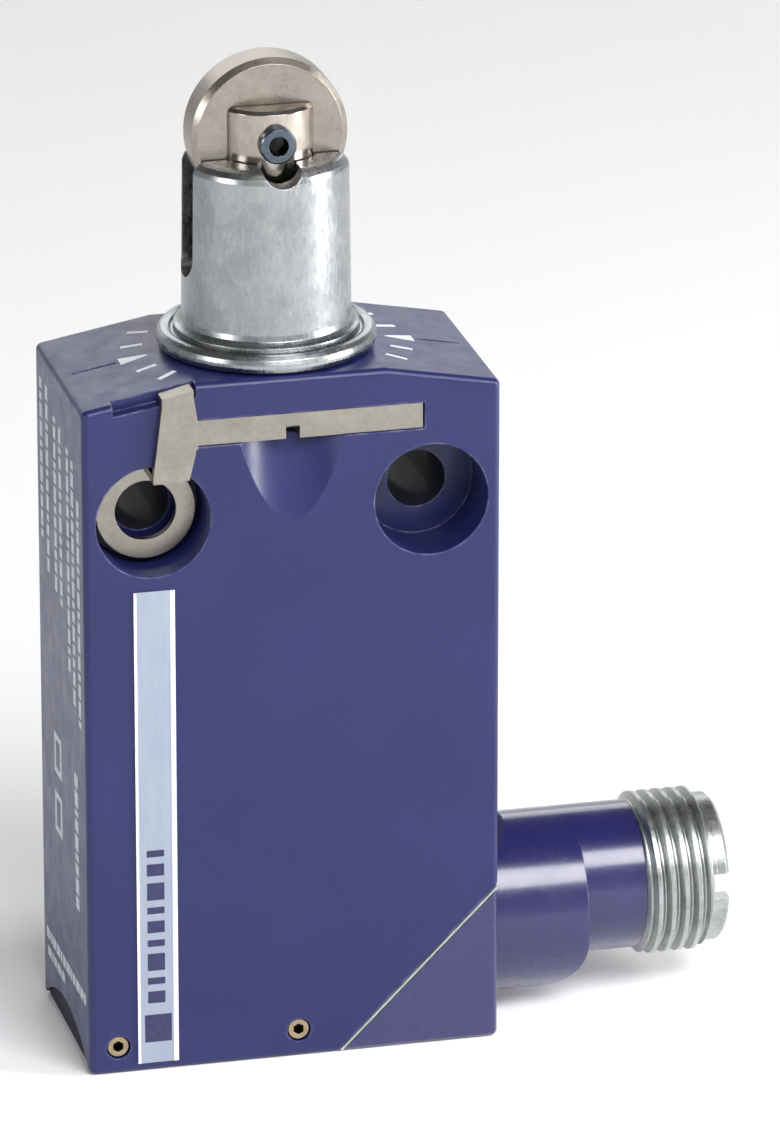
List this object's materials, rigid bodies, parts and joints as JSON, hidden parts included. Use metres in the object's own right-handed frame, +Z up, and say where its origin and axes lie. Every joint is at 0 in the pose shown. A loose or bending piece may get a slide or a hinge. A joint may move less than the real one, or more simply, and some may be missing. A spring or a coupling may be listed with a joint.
{
  "type": "limit switch",
  "caption": "Miniature metal limit switch with a steel roller plunger head, side-mounting body and a threaded connector on a corner outlet that turns.",
  "frame": {"origin": "middle of the line between the two fixing holes, on the flat back face", "axes": "+X towards the connector's side, +Y out of the back face, +Z up along the plunger's axis towards the roller"},
  "size_m": [0.048, 0.0167, 0.0727],
  "materials": {
    "case_paint": "satin",
    "outlet_paint": "gloss",
    "bright_steel": "satin",
    "brass_screw": "satin",
    "label_film": "satin",
    "clip_metal": "satin",
    "head_zinc": "satin",
    "plunger_steel": "polished",
    "roller_steel": "satin",
    "pin_steel": "satin",
    "spring_steel": "satin",
    "seal_rubber": "matt",
    "gasket_rubber": "matt",
    "moulding": "matt",
    "carriage_moulding": "matt",
    "contact_brass": "satin",
    "shell_zinc": "satin",
    "insert_plastic": "matt",
    "pin_gold": "polished",
    "wire_cover": "satin"
  },
  "bodies": {
    "case": {"housing": "case_paint", "back_cover": "case_paint", "cover_screws": "bright_steel", "base_plug": "case_paint", "grub_screws": "brass_screw", "label_strip": "label_film", "contact_block_base": "moulding", "contact_block_lid": "moulding", "carriage_spring": "spring_steel", "fixed_contacts_upper": "contact_brass", "fixed_contacts_lower": "contact_brass", "case_wires": "wire_cover"},
    "head": {"head_body": "head_zinc", "head_seal": "seal_rubber", "plunger_seal": "seal_rubber", "plunger_spring": "spring_steel"},
    "plunger": {"plunger": "plunger_steel", "roller_pin": "pin_steel"},
    "roller": {"roller": "roller_steel"},
    "carriage": {"contact_carriage": "carriage_moulding", "push_rod": "moulding"},
    "bridge": {"contact_bridge": "contact_brass"},
    "clip": {"retaining_clip": "clip_metal"},
    "outlet": {"corner_outlet": "outlet_paint", "outlet_ring": "bright_steel", "outlet_gasket": "gasket_rubber", "connector_shell": "shell_zinc", "connector_insert": "insert_plastic", "connector_pins": "pin_gold", "shell_seal": "seal_rubber", "outlet_wires": "wire_cover"}
  },
  "joints": [
    {"name": "head_turn", "type": "hinge", "parent": "case", "child": "head", "pos_m": [0, -0.008, 0.0099], "axis": [0, 0, 1], "continuous": true},
    {"name": "plunger_slide", "type": "slide", "parent": "head", "child": "plunger", "axis": [0, 0, -1], "range_m": [0, 0.004], "stiffness_N_per_m": 700, "springref_m": -0.004, "deforming": ["plunger_spring"]},
    {"name": "roller_spin", "type": "hinge", "parent": "plunger", "child": "roller", "pos_m": [0, -0.008, 0.0255], "axis": [0, -1, 0], "continuous": true},
    {"name": "carriage_slide", "type": "slide", "parent": "case", "child": "carriage", "axis": [0, 0, -1], "range_m": [0, 0.004], "deforming": ["carriage_spring"]},
    {"name": "bridge_snap", "type": "slide", "parent": "case", "child": "bridge", "axis": [0, 0, -1], "range_m": [0, 0.0012]},
    {"name": "clip_slide", "type": "slide", "parent": "case", "child": "clip", "axis": [0, -1, 0], "range_m": [0, 0.012]},
    {"name": "outlet_turn", "type": "hinge", "parent": "case", "child": "outlet", "pos_m": [0.009, -0.008, -0.0356], "axis": [0.7071, 0, -0.7071], "range_deg": [0, 180]}
  ],
  "couplings": [
    {"joint": "carriage_slide", "follows": "plunger_slide", "ratio": 1},
    {"joint": "bridge_snap", "follows": "plunger_slide", "ratio": 0.3}
  ]
}
